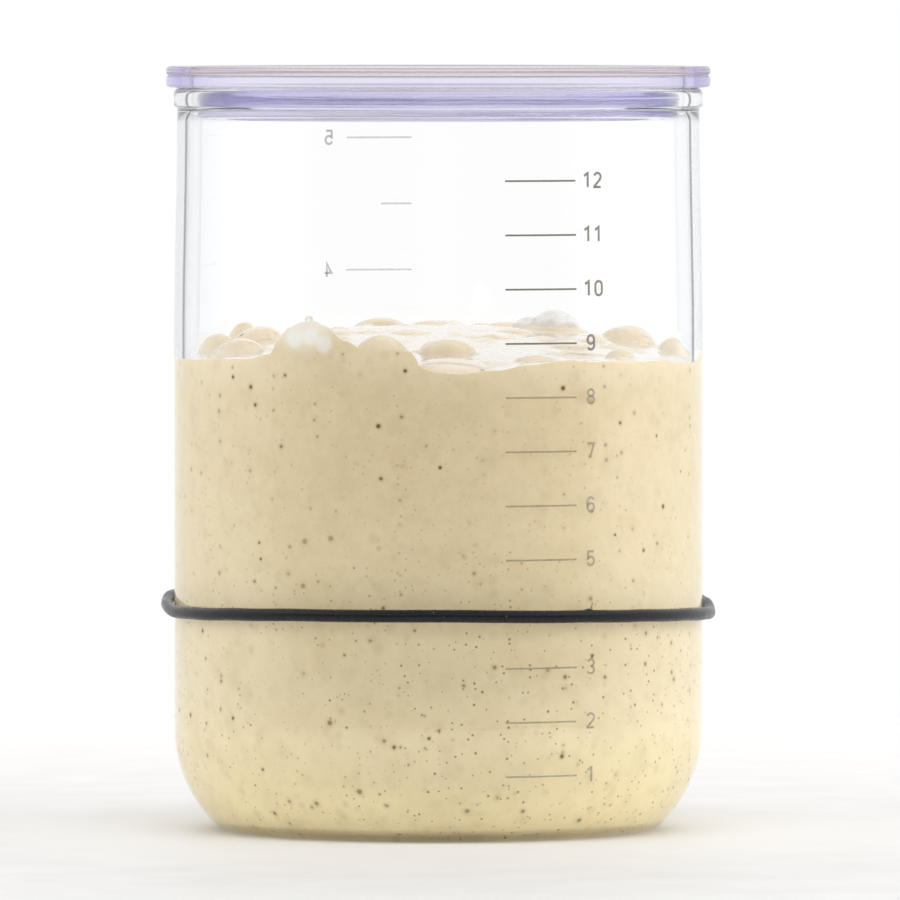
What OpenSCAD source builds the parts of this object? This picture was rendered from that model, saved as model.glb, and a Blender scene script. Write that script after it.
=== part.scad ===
// Glass jar for a sourdough starter: clear cylinder with a thick rim, a drop-in lid
// with a two-lipped seal, a rubber marker band and the starter inside.
// Origin: centre of the foot, on the surface that the jar stands on. +Z is up.
// The printed centimetre scale faces -Y and the inch scale faces +Y.

/* [Jar] */
// Outer diameter of the straight wall
jar_d = 99.5; // [90:0.5:120]
// Height of the glass from the foot to the top of the rim
jar_h = 139.5; // [125:0.5:200]
// Thickness of the glass wall
wall = 2.1; // [1.6:0.1:3]
// Thickness of the glass under the starter
base_t = 2.6; // [2:0.1:5]
// Radius of the arc between wall and foot
corner_r = 24.9; // [15:0.1:30]
// Height at which that arc meets the wall
corner_h = 18.9; // [12:0.1:24]
// How far the middle of the underside is pushed up
punt_h = 0.8; // [0.4:0.1:1.6]
// Width of the flat ring that the jar stands on
foot_w = 6; // [3:0.5:12]

/* [Rim] */
// Diameter of the mouth inside the rim collar
mouth_d = 91; // [78:0.5:91]
// Height of the collar at its full thickness
collar_h = 3.4; // [2.4:0.1:6]
// Height over which the collar runs out into the wall, outside and inside
shoulder_h = 0.4; // [0.3:0.1:2]
// How much the wall draws in below the collar, on the radius
neck_in = 0.6; // [0.2:0.1:0.8]
// Height below the rim at which the wall starts to draw in
neck_h = 48; // [30:1:60]
// Rounding of the rim's edges
rim_round = 1.1; // [0.6:0.1:1.4]

/* [Lid] */
// Diameter of the lid
lid_d = 102.4; // [101:0.2:126]
// Thickness of the lid's plate
plate_t = 2.3; // [1.6:0.1:4]
// Height of the raised lip round the lid's top
lip_h = 1.7; // [1:0.1:4]
// Width of that lip
lip_w = 4.4; // [3:0.1:8]
// Depth of the plug below the plate
plug_h = 5.1; // [4.6:0.1:8]
// Thickness of the plug's ring wall
plug_wall = 2.4; // [1.6:0.1:4]
// Height of the bead round the plug that holds the seal
bead_h = 0.8; // [0.6:0.1:1.2]
// How far that bead stands out into the seal
bead_out = 1.1; // [0.6:0.1:1.4]
// Rounding of the lid's outer edges
lid_round = 0.8; // [0.4:0.1:0.8]
// Depth of the fine groove round the lid's edge, at the level of the plate
pinch_d = 0.3; // [0.1:0.05:0.5]
// Gap between lid and rim
seat_gap = 0.05; // [0.02:0.01:0.1]

/* [Seal] */
// Thickness of the seal from plug to lip
seal_t = 3; // [2.2:0.1:4]
// Height of the seal over both lips
seal_h = 4.1; // [3:0.1:4.4]
// Depth of the groove between the two lips
groove_d = 1.1; // [0.6:0.1:1.5]
// Gap between the lips and the mouth, on the radius
seal_gap = 0.05; // [0.02:0.01:0.1]
// Gap between the seal and the bead that it is pulled over
grip_gap = 0.05; // [0.02:0.01:0.1]

/* [Marker band] */
// Thickness of the rubber ring
band_t = 2.4; // [1.6:0.1:4]
// Height at which the band rests, to the middle of its section
band_z = 42.8; // [30:0.5:90]
// Gap between the band and the printed scale, on the radius
band_gap = 0.05; // [0.02:0.01:0.1]

/* [Starter] */
// Height of the starter at the wall
fill_h = 89; // [40:1:110]
// How far the middle of the starter swells up
crown_h = 3.3; // [0:0.1:5]
// How much more it swells towards the back, and less towards the front
tilt_h = 4.3; // [0:0.1:6]
// Height of the largest bubble above that
bubble_h = 6.5; // [2:0.5:9]
// Gap between starter and glass
starter_gap = 0.1; // [0.05:0.01:0.3]

/* [Printed scale] */
// Thickness of the enamel print
ink_t = 0.05; // [0.03:0.01:0.1]
// Thickness of a printed line
line_w = 0.35; // [0.25:0.05:0.8]
// Angle from the jar's front to the near end of the centimetre lines
cm_turn = 14.5; // [5:0.5:40]
// Arc length of a centimetre line
cm_len = 13.9; // [8:0.1:20]
// Angle from the jar's back to the near end of the inch lines
inch_turn = 6; // [2:0.5:40]
// Arc length of a whole-inch line
inch_len = 13; // [8:0.1:20]
// Arc length of a half-inch line
half_len = 6.2; // [3:0.1:8]

/* [Hidden] */
$fn = 96;
eps = 0.01;

// Distance between two lines of each scale
cm_step = 10;
inch_step = 25.4;
// Clear wall left between the highest line and the collar
scale_margin = 4;

// Radii and heights of the glass
jar_r = jar_d / 2;
bore_r = jar_r - wall;
mouth_r = mouth_d / 2;
neck_r = jar_r - neck_in;
inner_corner_r = corner_r - wall;
corner_x = jar_r - corner_r;
foot_r = corner_x + sqrt(corner_r * corner_r - corner_h * corner_h);
collar_z = jar_h - collar_h;
shoulder_z = collar_z - shoulder_h;
neck_z = jar_h - neck_h;
punt_r = foot_r - foot_w;
punt_ball = (punt_r * punt_r + punt_h * punt_h) / (2 * punt_h);
scale_top = shoulder_z - scale_margin;

// Radii and heights of the lid and its seal
lid_z = jar_h + seat_gap;
plate_z = lid_z + plate_t;
lid_top = plate_z + lip_h;
lid_r = lid_d / 2;
seal_r = mouth_r - seal_gap;
plug_r = seal_r - seal_t;
plug_bore_r = plug_r - plug_wall;
plug_z = lid_z - plug_h;
lip_round = seal_h / 4;
bead_z = plug_z + lip_round;

// Radius of the middle of the band's section
band_r = jar_r + ink_t + band_gap + band_t / 2;

// Outer wall radius at height z: straight, then drawn in towards the collar
function wall_r(z) = z < neck_z ? jar_r : jar_r - neck_in * (z - neck_z) / (shoulder_z - neck_z);

// Bubbles on the starter's top, by hand: angle from +X, then as shares the distance from the
// axis and the radius (of the bore) and the height (of the largest bubble)
bubbles = [
    [167, 0.74, 0.103, 0.40],
    [152, 0.90, 0.071, 0.66],
    [198, 0.82, 0.101, 0.40],
    [180, 0.88, 0.076, 0.45],
    [235, 0.85, 0.151, 0.98],
    [108, 0.80, 0.122, 0.37],
    [91, 0.63, 0.109, 0.14],
    [76, 0.78, 0.076, 0.16],
    [63, 0.64, 0.097, 0.14],
    [240, 0.44, 0.099, 0.45],
    [275, 0.46, 0.115, 0.44],
    [42, 0.63, 0.139, 0.53],
    [14, 0.79, 0.113, 0.42],
    [323, 0.88, 0.059, 0.28],
    [355, 0.95, 0.084, 0.39],
    [274, 0.82, 0.126, 0.21],
    [297, 0.83, 0.088, 0.19],
    [153, 0.47, 0.088, 0.12],
    [22, 0.23, 0.115, 0.10],
    [338, 0.57, 0.097, 0.14],
    [119, 0.22, 0.084, 0.10],
    [129, 0.84, 0.097, 0.28],
    [37, 0.94, 0.084, 0.47],
    [188, 0.59, 0.067, 0.12],
    [358, 0.61, 0.067, 0.10],
    [39, 0.40, 0.071, 0.10],
    [245, 0.93, 0.300, 0.45],
];
// The place in front where the starter has sunk a little at the glass, in the same terms
dent = [276, 0.98, 0.28, 0.30];

// Height of a dome at distance d from its middle, 0 outside it; the softness rounds its foot
function dome(d, reach, height, softness) = d < reach ? height * pow(1 - pow(d / reach, 2), softness) : 0;
// Distance of a point from the middle of a bubble or dent
function away(p, b) = norm(p - bore_r * b[1] * [cos(b[0]), sin(b[0])]);
// Height of the starter's top over a point
function top_z(p) = fill_h + (crown_h + tilt_h * p[1] / bore_r) * (1 - pow(norm(p) / bore_r, 4))
    + max([for (b = bubbles) dome(away(p, b), bore_r * b[2], bubble_h * b[3], 0.8)])
    - dome(away(p, dent), bore_r * dent[2], bubble_h * dent[3], 1.5);

// The whole outline of the glass from outside, as a half section
module outer_section() {
    translate([0, corner_h])
        square([jar_r, neck_z - corner_h]);
    polygon([[0, neck_z], [jar_r, neck_z], [neck_r, shoulder_z], [0, shoulder_z]]);
    polygon([[0, shoulder_z], [neck_r, shoulder_z], [jar_r, collar_z], [0, collar_z]]);
    translate([0, collar_z])
        square([jar_r, collar_h - rim_round]);
    translate([0, collar_z])
        square([jar_r - rim_round, collar_h]);
    translate([jar_r - rim_round, jar_h - rim_round])
        circle(rim_round);
    square([foot_r, corner_h]);
    intersection() {
        translate([corner_x, corner_h])
            circle(corner_r);
        square([jar_r, corner_h]);
    }
}

// The space inside the glass, as a half section
module inner_section() {
    translate([0, corner_h])
        square([bore_r, neck_z - corner_h]);
    polygon([[0, neck_z], [bore_r, neck_z], [neck_r - wall, shoulder_z], [0, shoulder_z]]);
    polygon([[0, shoulder_z], [neck_r - wall, shoulder_z], [mouth_r, collar_z], [0, collar_z]]);
    translate([0, collar_z])
        square([mouth_r, collar_h + eps]);
    intersection() {
        union() {
            translate([corner_x, corner_h])
                circle(inner_corner_r);
            square([corner_x, corner_h]);
        }
        translate([0, base_t])
            square([bore_r, corner_h - base_t]);
    }
}

// The corner of square glass that the mouth's rounded edge takes away
module mouth_corner() {
    difference() {
        translate([mouth_r - eps, jar_h - rim_round])
            square([rim_round + eps, rim_round + eps]);
        translate([mouth_r + rim_round, jar_h - rim_round])
            circle(rim_round);
    }
}

module jar_glass() {
    color("lightcyan", 0.35)
    difference() {
        rotate_extrude()
            intersection() {
                difference() {
                    outer_section();
                    inner_section();
                    mouth_corner();
                }
                square([jar_d, jar_h]);
            }
        translate([0, 0, punt_h - punt_ball])
            sphere(punt_ball);
    }
}

// Radius of the starter's skin at height z, and its rings from the bottom up
sectors = 96;
top_rings = 24;
corner_rings = 7;
starter_base = base_t + starter_gap;
starter_corner_r = inner_corner_r - starter_gap;
starter_r = bore_r - starter_gap;
corner_low = asin((corner_h - starter_base) / starter_corner_r);
function ring_point(i, rad) = rad * [cos(360 * i / sectors), sin(360 * i / sectors)];
corner_profile = [
    for (k = [0 : corner_rings])
        let (a = -corner_low * (1 - k / corner_rings))
            [corner_x + starter_corner_r * cos(a), corner_h + starter_corner_r * sin(a)]
];

module starter() {
    wall_points = [
        for (c = corner_profile, i = [0 : sectors - 1])
            let (p = ring_point(i, c[0])) [p[0], p[1], c[1]]
    ];
    top_points = [
        for (k = [0 : top_rings - 1], i = [0 : sectors - 1])
            let (p = ring_point(i, starter_r * (1 - k / top_rings))) [p[0], p[1], top_z(p)]
    ];
    rings = corner_rings + 1 + top_rings;
    centre = rings * sectors;
    points = concat(wall_points, top_points, [[0, 0, top_z([0, 0])]]);
    bottom_face = [[for (i = [0 : sectors - 1]) i]];
    side_faces = [
        for (k = [0 : rings - 2], i = [0 : sectors - 1])
            let (j = (i + 1) % sectors, a = k * sectors, b = a + sectors)
                each [[a + i, b + i, b + j], [a + i, b + j, a + j]]
    ];
    crown_faces = [
        for (i = [0 : sectors - 1])
            let (a = (rings - 1) * sectors) [a + i, centre, a + (i + 1) % sectors]
    ];
    color("wheat")
        polyhedron(points = points, faces = concat(bottom_face, side_faces, crown_faces), convexity = 6);
}

// One printed line on the wall at height z, from an angle over an arc length
module printed_line(z, start, length) {
    r = wall_r(z);
    rotate(start)
        rotate_extrude(angle = length / r * 180 / PI)
            translate([r, z - line_w / 2])
                square([ink_t, line_w]);
}

module cm_scale() {
    color("dimgray")
        for (n = [1 : floor((scale_top - base_t) / cm_step)])
            printed_line(base_t + n * cm_step, cm_turn - 90, cm_len);
}

module inch_scale() {
    color("dimgray")
        for (n = [1 : floor(2 * (scale_top - base_t) / inch_step)])
            printed_line(base_t + n * inch_step / 2, inch_turn + 90, n % 2 == 0 ? inch_len : half_len);
}

// Half section of the lid: plate with a raised lip, and the plug's ring wall with its bead
module lid_section() {
    difference() {
        union() {
            translate([0, lid_z])
                square([lid_r - lid_round, plate_t]);
            translate([lid_r - lip_w, lid_z])
                square([lip_w - lid_round, plate_t + lip_h]);
            translate([lid_r - lid_round, lid_z + lid_round])
                square([lid_round, plate_t + lip_h - 2 * lid_round]);
            for (z = [lid_z + lid_round, lid_top - lid_round])
                translate([lid_r - lid_round, z])
                    circle(lid_round);
        }
        translate([lid_r, plate_z])
            circle(pinch_d);
    }
    translate([plug_bore_r, plug_z])
        square([plug_wall, plug_h + eps]);
    bead_section(0);
}

// Half section of the bead that holds the seal, behind its lower lip where the seal is thick;
// grown by a gap it is the groove inside the seal
module bead_section(gap) {
    translate([plug_bore_r, bead_z - bead_h / 2 - gap])
        square([plug_wall + bead_out - bead_h / 2, bead_h + 2 * gap]);
    translate([plug_r + bead_out - bead_h / 2, bead_z])
        circle(bead_h / 2 + gap);
}

module lid() {
    color("lavender", 0.5)
        rotate_extrude()
            lid_section();
}

// Two round lips with a groove between them, on a web pulled over the plug's bead
module lid_seal() {
    color("thistle", 0.8)
        rotate_extrude()
            difference() {
                union() {
                    translate([plug_r, plug_z])
                        square([seal_t - groove_d, seal_h]);
                    for (z = [plug_z + lip_round, plug_z + seal_h - lip_round])
                        translate([seal_r - lip_round, z])
                            circle(lip_round);
                    for (z = [plug_z, plug_z + seal_h / 2])
                        translate([plug_r, z])
                            square([seal_t - lip_round, 2 * lip_round]);
                }
                bead_section(grip_gap);
            }
}

module marker_band() {
    color("#262a33")
        translate([0, 0, band_z])
            rotate_extrude()
                translate([band_r, 0])
                    circle(band_t / 2);
}

jar_glass();
starter();
cm_scale();
inch_scale();
lid();
lid_seal();
marker_band();
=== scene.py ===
import math

import bmesh
import bpy
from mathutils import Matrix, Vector, noise


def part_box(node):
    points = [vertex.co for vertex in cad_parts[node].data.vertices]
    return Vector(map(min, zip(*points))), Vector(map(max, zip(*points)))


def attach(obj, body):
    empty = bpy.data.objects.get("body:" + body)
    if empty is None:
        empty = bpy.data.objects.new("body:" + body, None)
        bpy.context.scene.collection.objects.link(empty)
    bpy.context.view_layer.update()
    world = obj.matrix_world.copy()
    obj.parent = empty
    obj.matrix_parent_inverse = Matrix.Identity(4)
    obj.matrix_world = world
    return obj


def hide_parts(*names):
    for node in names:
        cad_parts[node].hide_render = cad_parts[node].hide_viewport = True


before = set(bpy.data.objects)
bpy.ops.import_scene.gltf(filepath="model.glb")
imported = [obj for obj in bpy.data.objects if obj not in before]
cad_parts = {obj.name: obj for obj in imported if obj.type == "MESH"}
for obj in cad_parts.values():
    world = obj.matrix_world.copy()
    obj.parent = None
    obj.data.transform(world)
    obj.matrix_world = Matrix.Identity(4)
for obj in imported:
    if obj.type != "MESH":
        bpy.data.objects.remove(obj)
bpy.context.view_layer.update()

# Real sizes, in metres, as the CAD model has them
MM = 0.001
_, jar_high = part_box("jar_glass")
lid_low, lid_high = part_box("lid")
band_low, band_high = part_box("marker_band")
JAR_R = jar_high.x
JAR_H = jar_high.z
WALL = 2.1 * MM
BASE_T = 2.6 * MM
CORNER_R = 24.9 * MM
CORNER_H = 18.9 * MM
PUNT_H = 0.8 * MM
FOOT_W = 6 * MM
FOOT_ROUND = 0.7 * MM
RIM_W = 4.25 * MM
COLLAR_H = 3.4 * MM
SHOULDER_H = 0.4 * MM
NECK_IN = 0.6 * MM
NECK_H = 48 * MM
RIM_ROUND = 1.1 * MM
BORE_R = JAR_R - WALL
MOUTH_R = JAR_R - RIM_W
NECK_R = JAR_R - NECK_IN
CORNER_X = JAR_R - CORNER_R
FOOT_R = CORNER_X + math.sqrt(CORNER_R**2 - CORNER_H**2)
COLLAR_Z = JAR_H - COLLAR_H
SHOULDER_Z = COLLAR_Z - SHOULDER_H
NECK_Z = JAR_H - NECK_H
LID_R = lid_high.x
SEAT_GAP = 0.05 * MM
SEAL_GAP = 0.05 * MM
LID_Z = JAR_H + SEAT_GAP
PLATE_T = 2.3 * MM
LIP_W = 4.4 * MM
LID_ROUND = 0.8 * MM
LIP_ROUND = 0.4 * MM
LID_TOP = lid_high.z
SEAL_R = MOUTH_R - SEAL_GAP
SEAL_T = 3 * MM
GROOVE_D = 1.1 * MM
PLUG_R = SEAL_R - SEAL_T
PLUG_WALL = 2.4 * MM
PLUG_Z = lid_low.z
PLUG_FILLET = 0.6 * MM
PLUG_EDGE = 0.3 * MM
BEAD_H = 0.8 * MM
BEAD_OUT = 1.1 * MM
SEAL_H = 4.1 * MM
GRIP_GAP = 0.05 * MM
PINCH_D = 0.3 * MM
BAND_T = band_high.z - band_low.z
BAND_Z = (band_high.z + band_low.z) / 2
BAND_R = band_high.x - BAND_T / 2
FILL_H = 89 * MM
BUBBLE_H = 6.5 * MM
CROWN_H = 3.3 * MM
TILT_H = 4.3 * MM
CM = 10 * MM
INCH = 25.4 * MM
# Gap between two clear bodies that lie on each other, so that their skins don't share a place
SKIN = 0.01 * MM
# The starter wets the glass: its skin lies this far inside the glass, so that no air shows between them
WET = 0.05 * MM

# The photograph's view, worked out from the printed rulers
FRAME_PX = 900
PX_PER_MM = 5.311
CAMERA_DIST = 2.24
CAMERA_H = 0.1557
AXIS_PX = 438.25
HORIZON_PX = 1.4
FOCAL_PX = PX_PER_MM * CAMERA_DIST / MM
SENSOR_MM = 36
TABLE_R = 0.356
TABLE_T = 0.02
TABLE_EDGE = 0.004
# Brightness where the backdrop is 1: the room behind the camera as glass and as polish show it, and the gaps
ROOM = 0.5
GLOSS_ROOM = 0.3
GAPS = 0.12
# Brightness of the backdrop seen through glass, and at its left and right ends
BACKDROP = 1.08
LEFT_END = 0.83
RIGHT_END = 0.95
# Strength of the backdrop's light on matt surfaces
FILL = 0.5
# Where each of these starts and ends, as shares of a direction along x, y or z; the gaps are only ahead
ROOM_RUN = (-0.6, 0.0)
LEFT_RUN = (-0.24, -0.04)
RIGHT_RUN = (0.1, 0.34)
GAP_INNER = (0.42, 0.445)
GAP_OUTER = (0.48, 0.5)
GAP_AHEAD = 0.5
COOL_RUN = (0.05, 0.34)
COOL = (0.95, 0.965, 1.0, 1)
# A bright panel over the camera, which polished edges and the rubber mirror
PANEL_Z = 0.58
PANEL_HALF = 0.13
PANEL_Y = -0.1


def srgb(r, g, b):
    """A colour written as in the photograph, 0 to 255, as Blender's linear values."""
    def line(v):
        v /= 255
        return v / 12.92 if v <= 0.04045 else ((v + 0.055) / 1.055) ** 2.4
    return (line(r), line(g), line(b), 1)


def smooth(t):
    """A smooth S from 0 to 1."""
    return t * t * (3 - 2 * t)


def arc(cx, cz, radius, start, end, steps):
    """Points of a round stretch of a half section, angles in degrees."""
    turn = [math.radians(start + (end - start) * i / steps) for i in range(steps + 1)]
    return [(cx + radius * math.cos(a), cz + radius * math.sin(a)) for a in turn]


def ease(start, end, steps):
    """Points of a smooth S between two points of a half section."""
    points = []
    for i in range(steps + 1):
        t = i / steps
        points.append((start[0] + (end[0] - start[0]) * smooth(t), start[1] + (end[1] - start[1]) * t))
    return points


def mesh_object(name, verts, faces, material, sharp=35):
    """A smooth-shaded piece from points and faces; edges turn sharp from an angle in degrees."""
    me = bpy.data.meshes.new(name)
    me.from_pydata(verts, [], faces)
    bm = bmesh.new()
    bm.from_mesh(me)
    bmesh.ops.remove_doubles(bm, verts=bm.verts, dist=1e-7)
    bmesh.ops.recalc_face_normals(bm, faces=bm.faces)
    bm.to_mesh(me)
    bm.free()
    me.shade_smooth()
    me.set_sharp_from_angle(angle=math.radians(sharp))
    me.materials.append(material)
    ob = bpy.data.objects.new(name, me)
    bpy.context.scene.collection.objects.link(ob)
    return ob


def revolve(name, section, material, steps=240, closed=False, sharp=35):
    """A closed solid turned from a half section; its ends lie on the axis unless it is a closed ring."""
    verts, rows = [], []
    for r, z in section:
        if r < 1e-9:
            rows.append([len(verts)] * steps)
            verts.append((0, 0, z))
        else:
            rows.append(range(len(verts), len(verts) + steps))
            verts += [
                (r * math.cos(2 * math.pi * i / steps), r * math.sin(2 * math.pi * i / steps), z)
                for i in range(steps)
            ]
    if closed:
        rows.append(rows[0])
    faces = []
    for low, high in zip(rows, rows[1:]):
        for i in range(steps):
            j = (i + 1) % steps
            corners = list(dict.fromkeys((low[i], low[j], high[j], high[i])))
            if len(corners) > 2:
                faces.append(corners)
    return mesh_object(name, verts, faces, material, sharp)


class Nodes:
    """A node tree, with short calls that add a node and link its inputs."""

    def __init__(self, tree):
        self.tree = tree
        tree.nodes.clear()

    def add(self, kind, values=None, **settings):
        node = self.tree.nodes.new("ShaderNode" + kind)
        for key, value in settings.items():
            setattr(node, key, value)
        for key, value in (values or {}).items():
            if hasattr(value, "is_output"):
                self.tree.links.new(value, node.inputs[key])
            else:
                node.inputs[key].default_value = value
        return node

    def math(self, operation, a, b=0.0, c=0.0):
        return self.add("Math", {0: a, 1: b, 2: c}, operation=operation).outputs[0]

    def run(self, value, start, end, low=0.0, high=1.0, shape="LINEAR"):
        """A run from low to high while a value goes from start to end, level outside that."""
        values = {"Value": value, "From Min": start, "From Max": end, "To Min": low, "To Max": high}
        return self.add("MapRange", values, interpolation_type=shape).outputs[0]

    def blend(self, share, a, b):
        """A number between a and b, by a share."""
        return self.add("Mix", {0: share, 2: a, 3: b}, data_type="FLOAT").outputs[0]

    def mix(self, share, a, b):
        """A colour between a and b, by a share."""
        return self.add("Mix", {0: share, 6: a, 7: b}, data_type="RGBA").outputs[2]


class Shader(Nodes):
    """A material and its nodes."""

    def __init__(self, name):
        self.material = bpy.data.materials.new(name)
        self.material.use_nodes = True
        super().__init__(self.material.node_tree)
        self.out = self.tree.nodes.new("ShaderNodeOutputMaterial")

    def place(self):
        return self.add("TexCoord").outputs["Object"]

    def height(self):
        return self.add("SeparateXYZ", {"Vector": self.place()}).outputs["Z"]

    def noise(self, scale, detail=3.0, rough=0.5, vector=None):
        values = {"Vector": vector or self.place(), "Scale": scale, "Detail": detail, "Roughness": rough}
        return self.add("TexNoise", values).outputs["Fac"]

    def ramp(self, fac, *stops):
        node = self.add("ValToRGB", {"Fac": fac})
        ends = node.color_ramp.elements
        while len(ends) < len(stops):
            ends.new(0.5)
        for end, (at, colour) in zip(ends, stops):
            end.position = at
            end.color = colour
        return node.outputs["Color"]

    def bump(self, height, strength, distance):
        values = {"Height": height, "Strength": strength, "Distance": distance}
        return self.add("Bump", values).outputs["Normal"]

    def surface(self, shader):
        self.tree.links.new(shader, self.out.inputs["Surface"])

    def clear_to_lamps(self, shader, tint=(1, 1, 1, 1)):
        """Lets lamps and diffuse light through, so that what lies behind the glass is lit."""
        path = self.add("LightPath")
        lit = self.math("MAXIMUM", path.outputs["Is Shadow Ray"], path.outputs["Is Diffuse Ray"])
        open_side = self.add("BsdfTransparent", {"Color": tint}).outputs[0]
        self.surface(self.add("MixShader", {0: lit, 1: shader, 2: open_side}).outputs[0])

    def absorb(self, colour, density):
        node = self.add("VolumeAbsorption", {"Color": colour, "Density": density})
        self.tree.links.new(node.outputs[0], self.out.inputs["Volume"])


def grey(v):
    return (v, v, v, 1)


# Share of the print's cover that is left where the bright starter lies behind it
INK_ON_BATTER = 0.41
# A low index keeps the light's way through the thin lid nearly straight
THIN_IOR = 1.03
# Tint of the lid's plastic
VIOLET = (0.262, 0.195, 0.69, 1)


def glass_material():
    s = Shader("clear_glass")
    wave = s.noise(18, 2)
    glass = s.add("BsdfPrincipled", {
        "Base Color": grey(1.0),
        "Roughness": s.math("MULTIPLY", s.noise(900, 2), 0.012),
        "IOR": 1.5,
        "Transmission Weight": 1.0,
        "Normal": s.bump(wave, 0.02, 0.002),
    })
    s.clear_to_lamps(glass.outputs[0], (0.97, 0.975, 0.98, 1))
    s.absorb((0.55, 0.72, 0.85, 1), 2.0)
    return s.material


def clouded(s, clear, haze, colour):
    """Clear plastic with a little cloud in its skin, which scatters a share of the light."""
    cloud = s.add("BsdfPrincipled", {"Base Color": colour, "Roughness": 0.4})
    return s.add("MixShader", {0: haze, 1: clear.outputs[0], 2: cloud.outputs[0]}).outputs[0]


def plastic(s, ior, roughness, normal, coat=0.7):
    """Clear plastic, rubber or water; its shine comes from a coat."""
    return s.add("BsdfPrincipled", {
        "Base Color": grey(1.0),
        "Roughness": roughness,
        "IOR": ior,
        "Transmission Weight": 1.0,
        "Coat Weight": coat,
        "Coat Roughness": 0.04,
        "Normal": normal,
    })


def stripe(s, height, z, half):
    """1 on a thin line at a height, running out to 0 at half its width."""
    gap = s.math("ABSOLUTE", s.math("SUBTRACT", height, z))
    return s.run(gap, 0.4 * half, half, 1.0, 0.0)


def disc_material():
    """The lid's clear middle."""
    s = Shader("clear_plastic")
    rough = s.math("MULTIPLY", s.noise(700, 3), 0.04)
    clear = plastic(s, THIN_IOR, rough, s.bump(s.noise(90, 2), 0.02, 0.0005))
    s.clear_to_lamps(clear.outputs[0], (0.95, 0.945, 0.97, 1))
    s.absorb(VIOLET, 1.2)
    return s.material


def rim_material():
    """The lid's violet rim: the light's way through it is longest at its two ends."""
    s = Shader("violet_plastic")
    rough = s.math("MULTIPLY", s.noise(700, 3), 0.05)
    clear = plastic(s, THIN_IOR, rough, s.bump(s.noise(90, 2), 0.03, 0.0005), 0.3)
    height = s.height()
    plate_z = LID_Z + PLATE_T
    haze = s.run(height, plate_z - 0.2 * MM, plate_z + 0.2 * MM, 0.01, 0.13)
    # Painted shade: thin dark lines in the groove at the plate's height and along the rounding of the top
    # edge.
    groove = stripe(s, height, plate_z, 0.25 * MM)
    edge = stripe(s, height, LID_TOP - 0.15 * MM, 0.28 * MM)
    painted_shade_lines = s.math("MAXIMUM", groove, edge)
    # Painted light: a lilac line along the lower edge, for the deeper violet that the light takes on there.
    painted_violet_line = stripe(s, height, LID_Z + 0.25 * MM, 0.35 * MM)
    colour = s.mix(painted_shade_lines, srgb(206, 178, 154), srgb(120, 114, 122))
    colour = s.mix(painted_violet_line, colour, srgb(172, 168, 200))
    lines = s.math("MAXIMUM", s.math("MULTIPLY", painted_shade_lines, 0.36), s.math("MULTIPLY", painted_violet_line, 0.25))
    haze = s.math("MAXIMUM", haze, lines)
    s.clear_to_lamps(clouded(s, clear, haze, colour), (0.9, 0.89, 0.95, 1))
    s.absorb(VIOLET, 23)
    return s.material


def seal_material():
    s = Shader("clear_silicone")
    stretch = s.add("VectorMath", {0: s.place(), 1: (18.0, 18.0, 1300.0)}, operation="MULTIPLY").outputs[0]
    streak = s.noise(1.0, 3, 0.6, stretch)
    rough = s.math("MULTIPLY_ADD", s.noise(500, 3), 0.10, 0.02)
    clear = plastic(s, 1.05, rough, s.bump(streak, 1.0, 0.0005))
    # Painted highlight: rare thin near-white slits stand for lamp reflections in the glass of the jar's
    # mouth.
    glint_stretch = s.add("VectorMath", {0: s.place(), 1: (9.0, 9.0, 1500.0)}, operation="MULTIPLY").outputs[0]
    painted_glint = s.ramp(s.noise(1.0, 1, 0.5, glint_stretch), (0.64, grey(0)), (0.68, grey(1)))
    haze = s.mix(painted_glint, s.ramp(streak, (0.35, grey(0.04)), (0.65, grey(0.12))), grey(0.45))
    colour = s.mix(painted_glint, srgb(156, 148, 216), srgb(250, 250, 255))
    s.clear_to_lamps(clouded(s, clear, haze, colour), (0.84, 0.82, 0.9, 1))
    s.absorb((0.26, 0.185, 0.72, 1), 150)
    return s.material


def water_material():
    s = Shader("clear_drop")
    s.surface(plastic(s, 1.33, 0.02, s.bump(s.noise(300, 2), 0.05, 0.0005)).outputs[0])
    return s.material


def rubber_material():
    s = Shader("marker_rubber")
    grain = s.noise(2600, 4, 0.6)
    dust = s.add("TexVoronoi", {"Vector": s.place(), "Scale": 420.0, "Randomness": 1.0}).outputs["Distance"]
    specks = s.ramp(dust, (0.0, grey(1)), (0.07, grey(0.25)), (0.11, grey(0)))
    base = s.ramp(grain, (0.3, srgb(5, 7, 12)), (0.75, srgb(14, 16, 24)))
    colour = s.mix(s.math("MULTIPLY", specks, 0.5), base, srgb(140, 140, 142))
    rubber = s.add("BsdfPrincipled", {
        "Base Color": colour,
        "Roughness": s.ramp(s.noise(900, 3), (0.3, grey(0.22)), (0.7, grey(0.36))),
        "Specular IOR Level": 0.35,
        "Normal": s.bump(grain, 0.14, 0.0002),
    })
    s.surface(rubber.outputs[0])
    return s.material


def ink_material(name, colour, cover):
    s = Shader(name)
    # The print wears thin at random, and is thinner still where the starter lies behind it.
    ink_cover = s.ramp(s.noise(1400, 4, 0.6), (0.25, grey(cover - 0.12)), (0.6, grey(cover)))
    above = s.run(s.height(), FILL_H - 1 * MM, FILL_H + 2 * MM)
    ink_cover = s.math("MULTIPLY", ink_cover, s.math("MULTIPLY_ADD", above, 1 - INK_ON_BATTER, INK_ON_BATTER))
    ink = s.add("BsdfPrincipled", {
        "Base Color": s.mix(s.noise(600, 2), colour, tuple(0.8 * c for c in colour[:3]) + (1,)),
        "Roughness": 0.55,
        "Alpha": ink_cover,
        "Normal": s.bump(s.noise(3000, 2), 0.1, 0.0001),
    })
    s.surface(ink.outputs[0])
    return s.material


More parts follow.
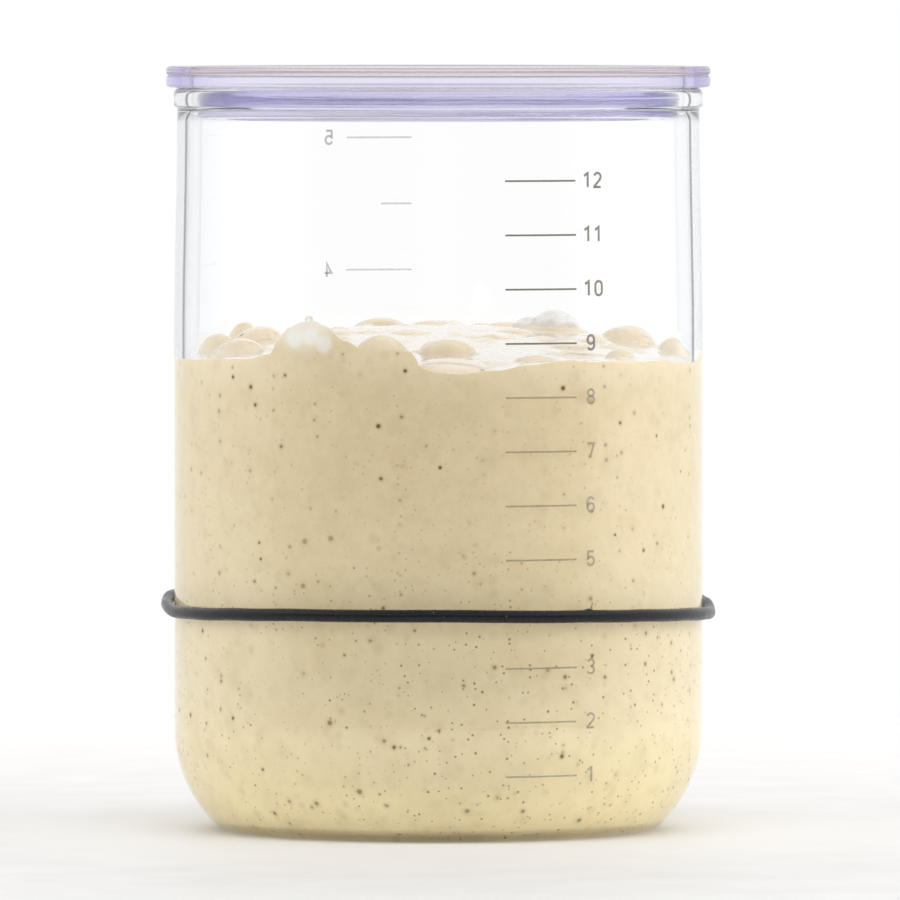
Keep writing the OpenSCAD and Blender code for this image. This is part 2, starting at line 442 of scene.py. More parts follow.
def spots(s, scale, size, soft, share, seed, least=0.3):
    """Round dots of uneven size: a share of the cells of a cell pattern hold one."""
    shift = s.add("VectorMath", {0: s.place(), 1: (seed, seed * 0.37, seed * 0.71)}, operation="ADD")
    cells = s.add("TexVoronoi", {"Vector": shift.outputs[0], "Scale": scale, "Randomness": 1.0})
    hue = s.add("SeparateColor", {"Color": cells.outputs["Color"]})
    pick = s.math("LESS_THAN", hue.outputs[0], share)
    reach = s.math("MULTIPLY_ADD", hue.outputs[1], size * (1 - least), size * least)
    edge = s.math("SUBTRACT", reach, cells.outputs["Distance"])
    return s.math("MULTIPLY", s.run(edge, 0.0, soft), pick)


# Where the specks stand closest, in mm
CROWD = (15, -45, 35)
# The milky bubble that stands against the front of the glass: its middle, and three painted highlights where
# small bubbles inside it catch the light, in mm
MOUND = (-23.4, -39.0, 97.8)
PAINTED_MOUND_HIGHLIGHTS = [(-26.2, -40.0, 93.3), (-23.2, -41.6, 93.9), (-20.7, -42.9, 92.4)]


def near(s, place, reach):
    """1 round a point, running out to 0 at a distance in mm."""
    middle = tuple(v * MM for v in place)
    gap = s.add("VectorMath", {0: s.place(), 1: middle}, operation="DISTANCE").outputs["Value"]
    return s.run(gap, reach * 0.45 * MM, reach * MM, 1.0, 0.0, "SMOOTHSTEP")


def starter_material():
    s = Shader("starter_batter")
    rise = s.run(s.height(), 0.0, FILL_H)
    # Painted light: the bright stops at the foot, up to 0.12 of the rise, lift the starter's lower corner,
    # where the table's bounced light and the glow through the glass base don't reach. Above them the tone
    # changes with height.
    tone = s.ramp(
        rise,
        (0.0, srgb(255, 238, 190)),
        (0.05, srgb(254, 236, 184)),
        (0.12, srgb(244, 227, 178)),
        (0.3, srgb(237, 221, 181)),
        (0.5, srgb(231, 213, 171)),
        (0.93, srgb(229, 210, 169)),
        (1.0, srgb(238, 221, 186)),
    )
    patch = s.noise(55, 4, 0.6)
    tone = s.mix(s.ramp(patch, (0.35, grey(0)), (0.75, grey(0.45))), tone, srgb(213, 192, 144))
    fine = s.noise(420, 4, 0.65)
    tone = s.mix(s.ramp(fine, (0.42, grey(0)), (0.8, grey(0.4))), tone, srgb(238, 225, 186))
    mottle = s.ramp(s.noise(260, 3, 0.5), (0.48, grey(0)), (0.75, grey(0.3)))
    tone = s.mix(mottle, tone, srgb(206, 186, 142))
    fleck = spots(s, 330, 0.5, 0.35, 0.45, 13.9)
    tone = s.mix(s.math("MULTIPLY", fleck, 0.25), tone, srgb(198, 176, 122))
    crowd = s.ramp(s.noise(70, 2, 0.5), (0.38, grey(0.25)), (0.54, grey(1)))
    crowd = s.math("MAXIMUM", crowd, near(s, CROWD, 36))
    low = s.ramp(rise, (0.0, grey(1)), (0.42, grey(1)), (0.55, grey(0.45)), (1.0, grey(0.3)))
    pores = s.math("MULTIPLY", spots(s, 800, 0.27, 0.12, 0.75, 3.1, 0.5), s.math("MULTIPLY", low, crowd))
    tone = s.mix(s.math("MULTIPLY", pores, 0.8), tone, srgb(130, 94, 30))
    strength = s.math("MULTIPLY_ADD", low, 0.4, 0.3)
    halo = s.math("MULTIPLY", spots(s, 400, 0.55, 0.45, 0.3, 5.3), strength)
    tone = s.mix(s.math("MULTIPLY", halo, 0.6), tone, srgb(190, 164, 98))
    grains = spots(s, 400, 0.25, 0.10, 0.3, 5.3)
    tone = s.mix(s.math("MULTIPLY", grains, strength), tone, srgb(124, 88, 22))
    ruddy = spots(s, 430, 0.22, 0.14, 0.15, 9.1)
    tone = s.mix(s.math("MULTIPLY", ruddy, 0.5), tone, srgb(190, 132, 78))
    halo = spots(s, 230, 0.22, 0.15, 0.7, 11.3)
    tone = s.mix(s.math("MULTIPLY", halo, 0.6), tone, srgb(178, 146, 84))
    bran = spots(s, 230, 0.12, 0.05, 0.7, 11.3)
    tone = s.mix(s.math("MULTIPLY", bran, 0.9), tone, srgb(88, 50, 8))
    # Milky white on the front bubble: partly the film's own colour, partly painted light for the bright
    # backdrop that shows through it. The white spots are painted highlights.
    tone = s.mix(s.math("MULTIPLY", near(s, MOUND, 9.0), 0.9), tone, srgb(251, 245, 228))
    for spot in PAINTED_MOUND_HIGHLIGHTS:
        tone = s.mix(s.math("MULTIPLY", near(s, spot, 2.2), 0.5), tone, grey(1.0))
    top = s.ramp(rise, (0.9, grey(0)), (0.96, grey(1)))
    batter = s.add("BsdfPrincipled", {
        "Base Color": tone,
        "Roughness": s.ramp(patch, (0.3, grey(0.05)), (0.7, grey(0.12))),
        "Coat Weight": 0.9,
        "Coat Roughness": 0.03,
        "Coat IOR": 1.45,
        "Subsurface Weight": 0.25,
        "Subsurface Radius": (1.0, 0.75, 0.45),
        "Subsurface Scale": 0.0025,
        "IOR": 1.45,
        "Normal": s.bump(s.noise(700, 4, 0.6), s.math("MULTIPLY_ADD", top, -0.078, 0.08), 0.0006),
    })
    s.surface(batter.outputs[0])
    return s.material


def film_material():
    """The clear skin of a large bubble: thin enough to show what lies behind it."""
    s = Shader("bubble_film")
    cloud = s.noise(160, 2, 0.5)
    skin = s.add("BsdfPrincipled", {
        "Base Color": s.ramp(cloud, (0.3, srgb(246, 243, 236)), (0.7, srgb(254, 253, 250))),
        "Roughness": s.math("MULTIPLY_ADD", cloud, 0.05, 0.02),
        "IOR": 1.34,
        "Subsurface Weight": 0.3,
        "Subsurface Radius": (1.0, 0.9, 0.8),
        "Subsurface Scale": 0.002,
        "Normal": s.bump(cloud, 0.1, 0.0006),
    })
    clear = s.add("BsdfTransparent", {"Color": (0.98, 0.98, 0.985, 1)})
    cover = s.ramp(cloud, (0.35, grey(0.22)), (0.65, grey(0.5)))
    s.surface(s.add("MixShader", {0: cover, 1: clear.outputs[0], 2: skin.outputs[0]}).outputs[0])
    return s.material


def stage_material():
    """A matt table top; painted light makes it paler far out and right under the jar."""
    inner, middle, outer = 0.05, 0.12, 0.33
    s = Shader("pale_table")
    grain = s.noise(60, 3)
    near_colour = s.ramp(grain, (0.3, srgb(219, 218, 217)), (0.7, srgb(226, 225, 224)))
    reach = s.add("VectorMath", {0: s.place()}, operation="LENGTH").outputs["Value"]
    # Painted light: the pale zone under and around the jar lifts the jar's shadow, and the pale far part
    # fades the table towards the bright backdrop.
    pale = s.math("MAXIMUM", s.run(reach, middle, outer), s.run(reach, middle, inner))
    colour = s.mix(pale, near_colour, srgb(232, 231, 230))
    values = {"Base Color": colour, "Roughness": 0.55, "Normal": s.bump(grain, 0.02, 0.001)}
    table = s.add("BsdfPrincipled", values)
    s.surface(table.outputs[0])
    return s.material


def wall_radius(z):
    """Radius of the glass from outside at a height."""
    if z < NECK_Z:
        return JAR_R
    return JAR_R - NECK_IN * smooth(min(1, (z - NECK_Z) / (SHOULDER_Z - NECK_Z)))


def build_glass(material):
    """The jar's wall from its pushed-up underside to the collar and back down inside."""
    corner_low = math.degrees(math.asin(CORNER_H / CORNER_R))
    ball_r = ((FOOT_R - FOOT_W) ** 2 + PUNT_H**2) / (2 * PUNT_H)
    half = math.degrees(math.asin((FOOT_R - FOOT_W) / ball_r))
    inner_r = CORNER_R - WALL
    inner_low = math.degrees(math.asin((CORNER_H - BASE_T) / inner_r))
    soft = SHOULDER_H * 0.4
    crease_z = COLLAR_Z + soft * 0.4
    crease_in = soft * 0.3
    section = arc(0, PUNT_H - ball_r, ball_r, 90, 90 - half, 8)
    section += [(FOOT_R - FOOT_ROUND, 0)]
    section += arc(CORNER_X, CORNER_H, CORNER_R, -corner_low + 2, 0, 40)
    section += ease((JAR_R, NECK_Z), (NECK_R, SHOULDER_Z - soft), 16)
    section += [(NECK_R + crease_in, SHOULDER_Z)]
    section += arc(JAR_R - soft, crease_z, soft, -60, 0, 6)
    section += arc(JAR_R - RIM_ROUND, JAR_H - RIM_ROUND, RIM_ROUND, 0, 90, 10)
    section += arc(MOUTH_R + RIM_ROUND, JAR_H - RIM_ROUND, RIM_ROUND, 90, 180, 10)
    section += arc(MOUTH_R + soft, crease_z, soft, 180, 240, 6)
    section += [(NECK_R - WALL - crease_in, SHOULDER_Z), (NECK_R - WALL, SHOULDER_Z - soft)]
    section += ease((NECK_R - WALL, SHOULDER_Z - 2 * soft), (BORE_R, NECK_Z), 16)
    section += arc(CORNER_X, CORNER_H, inner_r, 0, -inner_low, 40)
    section += [(0, BASE_T)]
    return revolve("glass_cylinder", section, material, 256)


def build_lid(material):
    """The clear middle of the lid with its hollow plug and the bead that holds the seal."""
    bead_z = PLUG_Z + SEAL_H / 4
    plate_z = LID_Z + PLATE_T
    edge_r = LID_R - LIP_W - SKIN
    inner_r = PLUG_R - PLUG_WALL
    section = [(0, LID_Z), (inner_r - PLUG_FILLET, LID_Z)]
    section += [(inner_r, LID_Z - PLUG_FILLET), (inner_r, PLUG_Z + PLUG_EDGE)]
    section += [(inner_r + PLUG_EDGE, PLUG_Z), (PLUG_R - PLUG_EDGE, PLUG_Z), (PLUG_R, PLUG_Z + PLUG_EDGE)]
    section += [(PLUG_R, bead_z - BEAD_H / 2)]
    section += arc(PLUG_R + BEAD_OUT - BEAD_H / 2, bead_z, BEAD_H / 2, -90, 90, 8)
    section += [(PLUG_R, bead_z + BEAD_H / 2), (PLUG_R, LID_Z), (edge_r, LID_Z)]
    section += [(edge_r, plate_z), (0, plate_z)]
    return revolve("lid_plate", section, material, 256)


def build_rim(material):
    """The lid's rim with its raised lip, in the violet tint, and the fine groove round its edge."""
    lip_in = LID_R - LIP_W
    section = [(lip_in, LID_Z)]
    section += arc(LID_R - LID_ROUND, LID_Z + LID_ROUND, LID_ROUND, -90, 0, 8)
    section += arc(LID_R, LID_Z + PLATE_T, PINCH_D, 270, 90, 8)
    section += arc(LID_R - LID_ROUND, LID_TOP - LID_ROUND, LID_ROUND, 0, 90, 8)
    section += arc(lip_in + LIP_ROUND, LID_TOP - LIP_ROUND, LIP_ROUND, 90, 180, 6)
    return revolve("lid_rim", section, material, 256, closed=True)


def build_seal(material):
    """Two round lips on a web that is pulled over the plug and its bead."""
    lip = SEAL_H / 4
    web_r = PLUG_R + SEAL_T - GROOVE_D
    bead_z = PLUG_Z + lip
    dip = math.degrees(math.acos((web_r - SEAL_R + lip) / lip))
    section = [(PLUG_R + SKIN, PLUG_Z), (SEAL_R - lip, PLUG_Z)]
    section += arc(SEAL_R - lip, PLUG_Z + lip, lip, -90, dip, 14)
    section += arc(SEAL_R - lip, PLUG_Z + 3 * lip, lip, -dip, 90, 14)
    section += [(PLUG_R + SKIN, PLUG_Z + SEAL_H)]
    section += [(PLUG_R + SKIN, bead_z + BEAD_H / 2 + GRIP_GAP)]
    section += arc(PLUG_R + BEAD_OUT - BEAD_H / 2, bead_z, BEAD_H / 2 + GRIP_GAP, 90, -90, 8)
    section += [(PLUG_R + SKIN, bead_z - BEAD_H / 2 - GRIP_GAP)]
    return revolve("two_lip_seal", section, material, 256, closed=True)


# How far the rubber ring lies above its even height, in mm, by angle from the front to the right
SAG = [
    (0, -0.28),
    (30, -0.68),
    (45, -1.0),
    (62, -1.4),
    (75, -1.8),
    (88, -2.1),
    (99, -0.8),
    (112, 0.2),
    (180, 0.3),
    (250, 0.7),
    (262, 0.5),
    (272, -0.5),
    (286, -1.35),
    (300, -1.15),
    (315, -0.75),
    (330, -0.42),
    (360, -0.28),
]


def build_band(material):
    """A moulded rubber ring, a little uneven, with a small nub where it left the mould."""
    steps, sides = 360, 28
    nub_at, nub_wide, nub_out = math.radians(-57), 0.012, 0.3 * MM
    nub_low, nub_high = 0.9, 2.2
    verts = []
    for i in range(steps):
        a = 2 * math.pi * i / steps
        lift = along(SAG, math.degrees(a + math.pi / 2) % 360)
        for k in range(sides):
            b = 2 * math.pi * k / sides
            r = BAND_T / 2 * (1 - 0.02 * noise.noise(Vector((8 * math.cos(a), 8 * math.sin(a), b))) - 0.012)
            if nub_low < b < nub_high:
                r += nub_out * math.exp(-(((a - nub_at + math.pi) % (2 * math.pi) - math.pi) / nub_wide) ** 2)
            ring = BAND_R + r * math.cos(b)
            verts.append((ring * math.cos(a), ring * math.sin(a), BAND_Z + lift + r * math.sin(b)))
    faces = []
    for i in range(steps):
        for k in range(sides):
            j, m = (i + 1) % steps, (k + 1) % sides
            faces.append((i * sides + k, j * sides + k, j * sides + m, i * sides + m))
    return mesh_object("rubber_ring", verts, faces, material, 60)


# Bubbles on the starter's top, as in the CAD model: angle from +X in degrees, and shares of the
# bore for the distance and the radius, and of the largest bubble for the height
DOMES = [
    (167, 0.74, 0.103, 0.40),
    (152, 0.90, 0.071, 0.66),
    (198, 0.82, 0.101, 0.40),
    (180, 0.88, 0.076, 0.45),
    (235, 0.85, 0.151, 0.98),
    (108, 0.80, 0.122, 0.37),
    (91, 0.63, 0.109, 0.14),
    (76, 0.78, 0.076, 0.16),
    (63, 0.64, 0.097, 0.14),
    (240, 0.44, 0.099, 0.45),
    (275, 0.46, 0.115, 0.44),
    (42, 0.63, 0.139, 0.53),
    (14, 0.79, 0.113, 0.42),
    (323, 0.88, 0.059, 0.28),
    (355, 0.95, 0.084, 0.39),
    (274, 0.82, 0.126, 0.21),
    (297, 0.83, 0.088, 0.19),
    (153, 0.47, 0.088, 0.12),
    (22, 0.23, 0.115, 0.10),
    (338, 0.57, 0.097, 0.14),
    (119, 0.22, 0.084, 0.10),
    (129, 0.84, 0.097, 0.28),
    (37, 0.94, 0.084, 0.47),
    (188, 0.59, 0.067, 0.12),
    (358, 0.61, 0.067, 0.10),
    (39, 0.40, 0.071, 0.10),
    (245, 0.93, 0.300, 0.45),
]
DENT = (276, 0.98, 0.28, 0.30)
# Share of its height that a dome has, where it isn't the usual one: by place in the list
DOME_SHARE = {4: 0.9, 11: 0.4}
USUAL_SHARE = 0.96
# Share of the bore over which the top runs in from the wall
EDGE_SHARE = 0.06
# Height of the top's slow swell and of its small blisters
SWELL_H = 0.3 * MM
BLISTER_H = 2.4 * MM


def away(x, y, spot):
    """Distance of a point from a bubble's middle, as a share of the bubble's radius."""
    a = math.radians(spot[0])
    reach = BORE_R * spot[2]
    return math.hypot(x - BORE_R * spot[1] * math.cos(a), y - BORE_R * spot[1] * math.sin(a)) / reach


def level(x, y):
    """The starter's level over a point, without bubbles: it swells in the middle, more towards the back."""
    sunk = max(0, 1 - away(x, y, DENT) ** 2) ** 1.5 * BUBBLE_H * DENT[3]
    swell = (CROWN_H + TILT_H * y / BORE_R) * (1 - (math.hypot(x, y) / BORE_R) ** 4)
    return FILL_H + swell - sunk


def top_height(x, y):
    """Height of the starter's top over a point: domes, small blisters and a slow swell."""
    height = 0
    for n, spot in enumerate(DOMES):
        d = away(x, y, spot)
        if d < 1:
            share = DOME_SHARE.get(n, USUAL_SHARE)
            height = max(height, share * BUBBLE_H * spot[3] * (1 - d * d) ** 0.7)
    swell = noise.noise(Vector((x * 60, y * 60, 0.7))) * SWELL_H
    blister = max(0, noise.noise(Vector((x * 150, y * 150, 4.2))) - 0.15) ** 2 * BLISTER_H
    return level(x, y) + height + swell + blister


# The starter's height at the glass, in mm above its level, by angle from the front to the right
CONTACT = [
    (0, -1.7),
    (5, -1.9),
    (12, -1.4),
    (20, -0.3),
    (28, 0.2),
    (47, -0.3),
    (56, -0.2),
    (72, -1.0),
    (80, -0.6),
    (88, 1.3),
    (95, 0.4),
    (135, 1.2),
    (180, 2.2),
    (225, 1.3),
    (262, -0.2),
    (270, -0.4),
    (300, 0.2),
    (314, 0.5),
    (320, 1.2),
    (322.3, 4.0),
    (325.1, 6.4),
    (328.5, 7.4),
    (332, 7.6),
    (334.4, 6.8),
    (339.2, 4.2),
    (343, 2.8),
    (350, 2.6),
    (354, 2.3),
    (356.5, -0.8),
    (360, -1.7),
]


def along(table, turn):
    """A value of a table by angle, with smooth runs between its rows."""
    for low, high in zip(table, table[1:]):
        if turn <= high[0]:
            t = smooth((turn - low[0]) / (high[0] - low[0]))
            return (low[1] + (high[1] - low[1]) * t) * MM
    return table[-1][1] * MM


def contact_height(a):
    """Height at which the starter meets the glass, by angle from +X."""
    ripple = noise.noise(Vector((7 * math.cos(a), 7 * math.sin(a), 5.1)))
    return FILL_H + along(CONTACT, math.degrees(a + math.pi / 2) % 360) + 0.35 * MM * ripple


def build_starter(material):
    """The starter as one closed mesh: floor, wall up to the contact line, and bubbly top."""
    steps, wall_rows, rings = 360, 24, 110
    inner_r = CORNER_R - WALL + WET
    floor_z = BASE_T - WET
    corner_low = math.degrees(math.asin((CORNER_H - floor_z) / inner_r))
    wall = arc(CORNER_X, CORNER_H, inner_r, -corner_low, 0, wall_rows)
    wall_r = BORE_R + WET
    verts, faces = [(0, 0, floor_z)], []
    rows = []

    def row(points):
        rows.append(range(len(verts), len(verts) + steps))
        verts.extend(points)

    turns = [2 * math.pi * i / steps for i in range(steps)]
    for r, z in wall:
        row([(r * math.cos(a), r * math.sin(a), z) for a in turns])
    for k in range(1, wall_rows + 1):
        t = k / wall_rows
        row([
            (wall_r * math.cos(a), wall_r * math.sin(a), CORNER_H + (contact_height(a) - CORNER_H) * t)
            for a in turns
        ])
    for k in range(1, rings):
        t = k / rings
        points = []
        for a in turns:
            r = BORE_R * (1 - t) + WET * (1 - min(1, 4 * t))
            x, y = r * math.cos(a), r * math.sin(a)
            share = smooth(min(1, t / EDGE_SHARE))
            z = contact_height(a) * (1 - share) + top_height(x, y) * share
            points.append((x, y, z))
        row(points)
    for low, high in zip(rows, rows[1:]):
        for i in range(steps):
            j = (i + 1) % steps
            faces.append((low[i], low[j], high[j], high[i]))
    faces += [(0, (i + 1) % steps + 1, i + 1) for i in range(steps)]
    top = len(verts)
    verts.append((0, 0, top_height(0, 0)))
    faces += [(rows[-1][i], rows[-1][(i + 1) % steps], top) for i in range(steps)]
    return mesh_object("batter", verts, faces, material, 80)


# Clear bubbles at the back and the drop on the front bubble, in mm: name, middle and radius
BUBBLES = [
    ("back_bubble", 22.3, 20.0, 91.6, 5.6),
    ("back_bubble_left", 17.6, 21.0, 91.6, 4.2),
    ("back_bubble_inner", 21.0, 17.5, 93.4, 2.2),
    ("back_bubble_right", 25.0, 18.0, 93.0, 2.0),
]
BEAD = ("front_bead", -23.5, -39.9, 96.9, 0.75)


def bubble(name, x, y, z, radius, material):
    """A round bubble or drop, a little uneven."""
    steps, rings = 48, 24
    section = [
        (radius * math.sin(math.pi * k / rings), z - radius * math.cos(math.pi * k / rings))
        for k in range(rings + 1)
    ]
    ob = revolve(name, section, material, steps)
    for v in ob.data.vertices:
        arm = v.co - Vector((0, 0, z))
        v.co = Vector((x, y, z)) + arm * (1 + 0.05 * noise.noise(arm * 120 + Vector((x, y, 0)) * 100))
    return ob


# Width of a digit that is 1 high
DIGIT_W = 0.57


def round_stroke(cx, cy, rx, ry, start, end, steps=14):
    """Points of a round stretch of a stroke, angles in degrees."""
    turn = [math.radians(start + (end - start) * i / steps) for i in range(steps + 1)]
    return [(cx + rx * math.cos(a), cy + ry * math.sin(a)) for a in turn]


def digit_strokes(digit):
    """Strokes of a digit that is 1 high, as (x, y) points from its lower left corner."""
    w, m = DIGIT_W, DIGIT_W / 2
    shapes = {
        "0": [
            round_stroke(m, 0.72, m, 0.28, 0, 180) + round_stroke(m, 0.28, m, 0.28, 180, 360) + [(w, 0.72)],
        ],
        "1": [[(0.02, 0.80), (0.34, 1.0), (0.34, 0.0)]],
        "2": [
            round_stroke(m, 0.74, m, 0.26, 165, -10) + [(w * 0.86, 0.52), (0.0, 0.06), (0.0, 0.0), (w, 0.0)],
        ],
        "3": [
            round_stroke(m, 0.75, m * 0.92, 0.25, 160, -90),
            round_stroke(m, 0.26, m, 0.26, 90, -160),
        ],
        "4": [[(w * 0.66, 0.0), (w * 0.66, 1.0), (0.0, 0.28), (w, 0.28)]],
        "5": [[(w * 0.92, 1.0), (0.06, 1.0), (0.03, 0.52)] + round_stroke(m, 0.32, m, 0.30, 130, -160)],
        "6": [
            round_stroke(m, 0.72, m, 0.28, 30, 180) + [(0.0, 0.30)],
            round_stroke(m, 0.30, m, 0.30, 180, -180, 24),
        ],
        "7": [[(0.0, 1.0), (w, 1.0), (w * 0.4, 0.0)]],
        "8": [
            round_stroke(m, 0.76, m * 0.88, 0.24, -90, 270, 24),
            round_stroke(m, 0.26, m, 0.26, 90, -270, 24),
        ],
        "9": [
            round_stroke(m, 0.28, m, 0.28, 210, 360) + [(w, 0.70)],
            round_stroke(m, 0.70, m, 0.30, 0, 360, 24),
        ],
    }
    return shapes[digit]


# The print's thickness and its gap to the glass, the widths of its strokes, and its digits' height and step
INK_T = 0.03 * MM
INK_GAP = 0.012 * MM
LINE_W = 0.34 * MM
STROKE_W = 0.46 * MM
DIGIT_H = 2.6 * MM
DIGIT_STEP = 2.4 * MM


def printed(name, front, strokes, material):
    """Strokes laid on the wall: front is the angle of x = 0, x runs to the right as seen from outside."""
    verts, faces = [], []
    for line, width in strokes:
        flat = [Vector(p) for p in line]
        base = len(verts)
        for i, p in enumerate(flat):
            ahead = (flat[min(i + 1, len(flat) - 1)] - p).normalized()
            behind = (p - flat[max(i - 1, 0)]).normalized()
            way = (ahead + behind).normalized()
            across = Vector((-way.y, way.x)) * width / 2 / max(0.5, way.dot(ahead if i == 0 else behind))
            for side in (p - across, p + across):
                r = wall_radius(side.y) + INK_GAP
                a = front + side.x / JAR_R
                for depth in (r, r + INK_T):
                    verts.append((depth * math.cos(a), depth * math.sin(a), side.y))
        for i in range(len(flat) - 1):
            a, b = base + 4 * i, base + 4 * i + 4
            faces += [(a, b, b + 2, a + 2), (a + 1, a + 3, b + 3, b + 1)]
            faces += [(a, a + 1, b + 1, b), (a + 2, b + 2, b + 3, a + 3)]
        end = base + 4 * (len(flat) - 1)
        faces += [(base, base + 2, base + 3, base + 1), (end, end + 1, end + 3, end + 2)]
    return mesh_object(name, verts, faces, material, 40)


def line_points(start, length, z):
    """Points of a level line, close enough to follow the round wall."""
    count = max(2, math.ceil(length / (0.6 * MM)))
    return [(start + length * i / count, z) for i in range(count + 1)]


def number_strokes(text, x, z):
    """Strokes of a number, from its left end and its middle height."""
    strokes = []
    for n, digit in enumerate(text):
        for stroke in digit_strokes(digit):
            placed = [(x + n * DIGIT_STEP + DIGIT_H * px, z + DIGIT_H * (py - 0.5)) for px, py in stroke]
            strokes.append((placed, STROKE_W))
    return strokes


def build_cm_lines(material):
    start, length = 12.6 * MM, 14.3 * MM
    strokes = [(line_points(start, length, BASE_T + n * CM), LINE_W) for n in range(1, 13)]
    return printed("centimetre_lines", -math.pi / 2, strokes, material)


def build_cm_digits(material):
    one_digit_x, two_digits_x, rise = 29.3 * MM, 28.75 * MM, 0.1 * MM
    strokes = []
    for n in range(1, 13):
        x = two_digits_x if n > 9 else one_digit_x
        strokes += number_strokes(str(n), x, BASE_T + n * CM + rise)
    return printed("centimetre_digits", -math.pi / 2, strokes, material)


def build_inch_lines(material):
    start, whole, half = 5.4 * MM, 13.4 * MM, 6.2 * MM
    strokes = [
        (line_points(start, half if n % 2 else whole, BASE_T + n * INCH / 2), LINE_W) for n in range(1, 11)
    ]
    return printed("inch_lines", math.pi / 2, strokes, material)


def build_inch_digits(material):
    start = 22 * MM
    strokes = []
    for n in range(1, 6):
        strokes += number_strokes(str(n), start, BASE_T + n * INCH)
    return printed("inch_digits", math.pi / 2, strokes, material)


def build_table(material):
    flat_r = TABLE_R - TABLE_EDGE
    section = [(0, 0), (flat_r, 0)] + arc(flat_r, -TABLE_EDGE, TABLE_EDGE, 90, 0, 6)[1:]
    section += [(TABLE_R, -TABLE_T), (0, -TABLE_T)]
    revolve("table", section, material, 128)


def lamp(name, place, aim, size, power):
    data = bpy.data.lights.new(name, "AREA")
    data.shape = "RECTANGLE"
    data.size, data.size_y = size
    data.energy = power
    ob = bpy.data.objects.new(name, data)
    ob.location = place
    ob.rotation_euler = (Vector(aim) - Vector(place)).to_track_quat("-Z", "Y").to_euler()
    ob.visible_camera = False
    ob.visible_glossy = False
    ob.visible_transmission = False
    bpy.context.scene.collection.objects.link(ob)


def build_world():
    """A white backdrop with a dim room in front of it, told apart by the kind of ray that sees it."""
    world = bpy.data.worlds.new("studio")
    world.use_nodes = True
    n = Nodes(world.node_tree)
    path = n.add("LightPath").outputs
    way = n.add("TexCoord").outputs["Generated"]
    axes = n.add("SeparateXYZ", {0: way}).outputs
    off_axis = n.math("ABSOLUTE", axes["X"])

    left = n.run(axes["X"], *LEFT_RUN, LEFT_END, 1.0)
    right = n.run(axes["X"], *RIGHT_RUN, 1.0, RIGHT_END)
    gap = n.math("MULTIPLY", n.run(off_axis, *GAP_INNER), n.run(off_axis, *GAP_OUTER, 1.0, 0.0))
    gap = n.math("MULTIPLY", gap, n.math("GREATER_THAN", axes["Y"], GAP_AHEAD))
    beside = n.blend(gap, n.math("MULTIPLY", left, right), GAPS)
    room = n.math("MULTIPLY", n.run(axes["Y"], *ROOM_RUN, ROOM, 1.0), beside)
    seen_through = n.math("MULTIPLY", room, BACKDROP)

    over = n.math("COMPARE", axes["Z"], PANEL_Z, PANEL_HALF)
    panel = n.math("MULTIPLY", over, n.math("LESS_THAN", axes["Y"], PANEL_Y))
    glossy = n.math("ADD", panel, n.run(axes["Y"], *ROOM_RUN, GLOSS_ROOM, 1.0))

    mirrored = n.blend(path["Is Glossy Ray"], 1.0, glossy)
    seen = n.math("MAXIMUM", path["Is Camera Ray"], path["Is Glossy Ray"])
    level = n.blend(path["Is Transmission Ray"], n.blend(seen, FILL, mirrored), seen_through)
    cool = n.run(off_axis, *COOL_RUN, 0.0, path["Is Transmission Ray"])
    back = n.add("Background", {"Strength": level, "Color": n.mix(cool, (1, 1, 1, 1), COOL)})
    out = n.add("OutputWorld")
    n.tree.links.new(back.outputs[0], out.inputs["Surface"])
    bpy.context.scene.world = world


def build_lamps():
    middle = (0, 0, 0.07)
    lamp("right_panel", (0.9, -0.15, 0.3), middle, (0.9, 0.6), 5.6)
    lamp("left_panel", (-0.9, -0.15, 0.25), middle, (0.8, 0.5), 3.4)
    lamp("top_panel", (0, -0.3, 1.1), middle, (0.6, 0.25), 5.0)
    lamp("back_panel", (0, 0.6, 0.45), (0, 0.32, 0), (0.9, 0.2), 1.6)


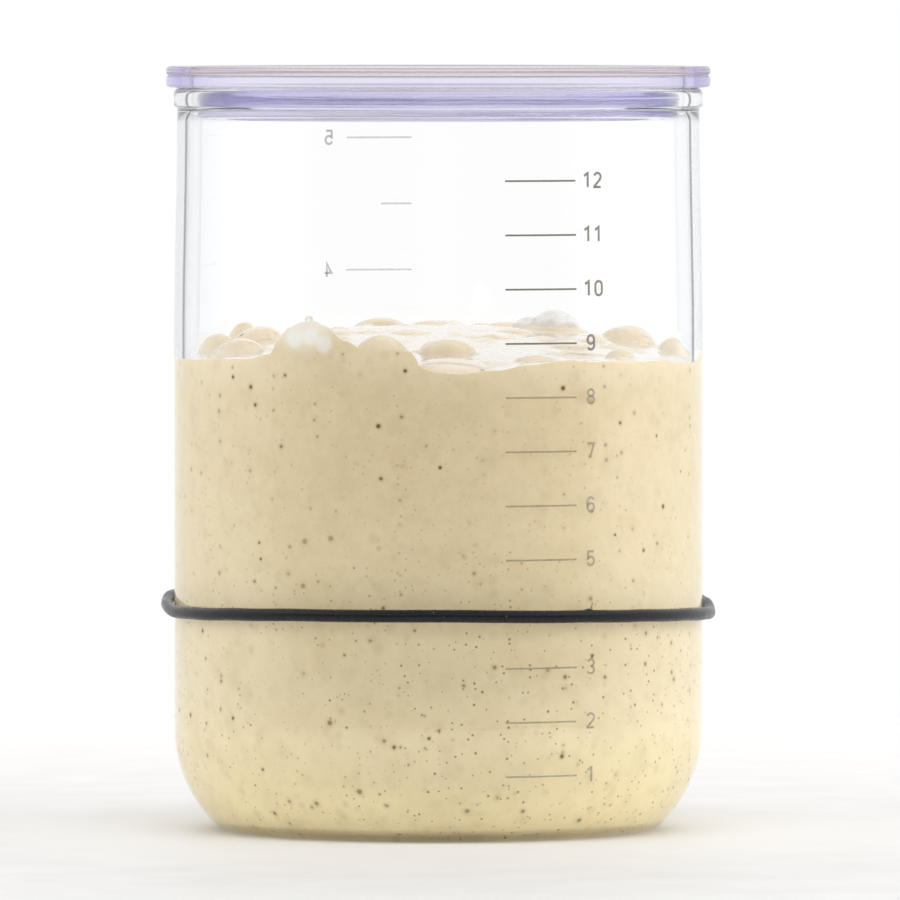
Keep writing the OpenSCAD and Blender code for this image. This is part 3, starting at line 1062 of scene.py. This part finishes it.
def build_camera():
    """The photograph's camera: the jar's axis and the horizon fall on their pixels."""
    data = bpy.data.cameras.new("camera")
    data.sensor_width = SENSOR_MM
    data.lens = FOCAL_PX / FRAME_PX * SENSOR_MM
    data.clip_end = 100
    ob = bpy.data.objects.new("camera", data)
    ob.location = ((FRAME_PX / 2 - AXIS_PX) / PX_PER_MM * MM, -CAMERA_DIST, CAMERA_H)
    tilt = math.atan((FRAME_PX / 2 - HORIZON_PX) / FOCAL_PX)
    ob.rotation_euler = (math.pi / 2 - tilt, 0, 0)
    bpy.context.scene.collection.objects.link(ob)
    bpy.context.scene.camera = ob


def dress(piece, body, slot, *nodes):
    """Puts a piece on its moving body, in place of the CAD nodes that it shows."""
    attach(piece, body)
    if nodes:
        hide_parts(*nodes)


bpy.context.scene.view_settings.view_transform = "Standard"
build_camera()
build_world()
build_lamps()
build_table(stage_material())

dress(build_glass(glass_material()), "jar", "glass", "jar_glass")
dress(build_starter(starter_material()), "jar", "starter", "starter")
dress(build_lid(disc_material()), "lid", "lid_plastic", "lid")
dress(build_rim(rim_material()), "lid", "lid_plastic", "lid")
dress(build_seal(seal_material()), "lid", "seal", "lid_seal")
dress(build_band(rubber_material()), "band", "band_rubber", "marker_band")
line_ink = ink_material("line_enamel", srgb(132, 127, 116), 0.88)
digit_ink = ink_material("digit_enamel", srgb(149, 144, 134), 0.95)
# The back scale is the same enamel as the front, painted paler: painted light for the bright backdrop behind
# it.
backlit_line_ink = ink_material("back_line_enamel_painted_backlight", srgb(196, 198, 202), 0.36)
backlit_digit_ink = ink_material("back_digit_enamel_painted_backlight", srgb(160, 162, 166), 0.43)
dress(build_cm_lines(line_ink), "jar", "enamel", "cm_scale")
dress(build_cm_digits(digit_ink), "jar", "enamel", "cm_scale")
dress(build_inch_lines(backlit_line_ink), "jar", "enamel", "inch_scale")
dress(build_inch_digits(backlit_digit_ink), "jar", "enamel", "inch_scale")
film = film_material()
for name, x, y, z, r in BUBBLES:
    dress(bubble(name, x * MM, y * MM, z * MM, r * MM, film), "jar", "starter")
name, x, y, z, r = BEAD
dress(bubble(name, x * MM, y * MM, z * MM, r * MM, water_material()), "jar", "starter")
